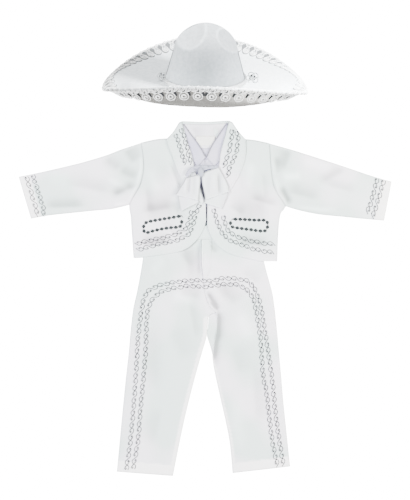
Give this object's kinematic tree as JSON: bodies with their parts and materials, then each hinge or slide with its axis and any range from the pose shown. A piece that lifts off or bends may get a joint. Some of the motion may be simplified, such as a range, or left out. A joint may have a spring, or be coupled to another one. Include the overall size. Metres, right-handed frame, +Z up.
{
  "type": "child's charro suit, laid out flat with its sombrero",
  "caption": "White charro suit for a small child, laid flat: short embroidered jacket over shirt and bow tie, long trousers, and a wide-brimmed sombrero stood on its back rim.",
  "frame": {"origin": "middle of the set's box, on the surface it lies on", "axes": "+X to the wearer's left, +Y from the trouser hems to the hat, +Z up off the surface"},
  "size_m": [0.783, 0.9358, 0.3817],
  "materials": {
    "suiting": "matt white polyester twill with a faint sheen",
    "shirting": "cool white poplin",
    "tie_satin": "soft white satin",
    "hat_felt": "matt white felt",
    "hat_lace": "white cord lace with dark openings",
    "embroidery_thread": "silver grey rayon thread",
    "pocket_trim": "dark grey satin-stitched diamonds"
  },
  "bodies": {
    "root": {"bow_band": "tie_satin", "bow_knot": "tie_satin", "bow_loop_left": "tie_satin", "bow_loop_right": "tie_satin", "bow_tail_left": "tie_satin", "bow_tail_right": "tie_satin", "hat_braid": "hat_lace", "hat_brim": "hat_felt", "hat_crown": "hat_felt", "hat_galloon": "hat_lace", "hat_knot_left": "hat_lace", "hat_knot_right": "hat_lace", "jacket_back": "suiting", "jacket_collar_back": "suiting", "jacket_collar_left": "suiting", "jacket_collar_right": "suiting", "jacket_front_left": "suiting", "jacket_front_right": "suiting", "jacket_sleeve_top_left": "suiting", "jacket_sleeve_top_right": "suiting", "jacket_sleeve_under_left": "suiting", "jacket_sleeve_under_right": "suiting", "neck_label": "shirting", "shirt_back": "shirting", "shirt_collar_back": "shirting", "shirt_collar_left": "shirting", "shirt_collar_right": "shirting", "shirt_front_left": "shirting", "shirt_front_right": "shirting", "trouser_back_left": "suiting", "trouser_back_right": "suiting", "trouser_fly": "suiting", "trouser_front_left": "suiting", "trouser_front_right": "suiting", "trouser_waistband_back": "suiting", "trouser_waistband_front": "suiting"}
  },
  "joints": []
}
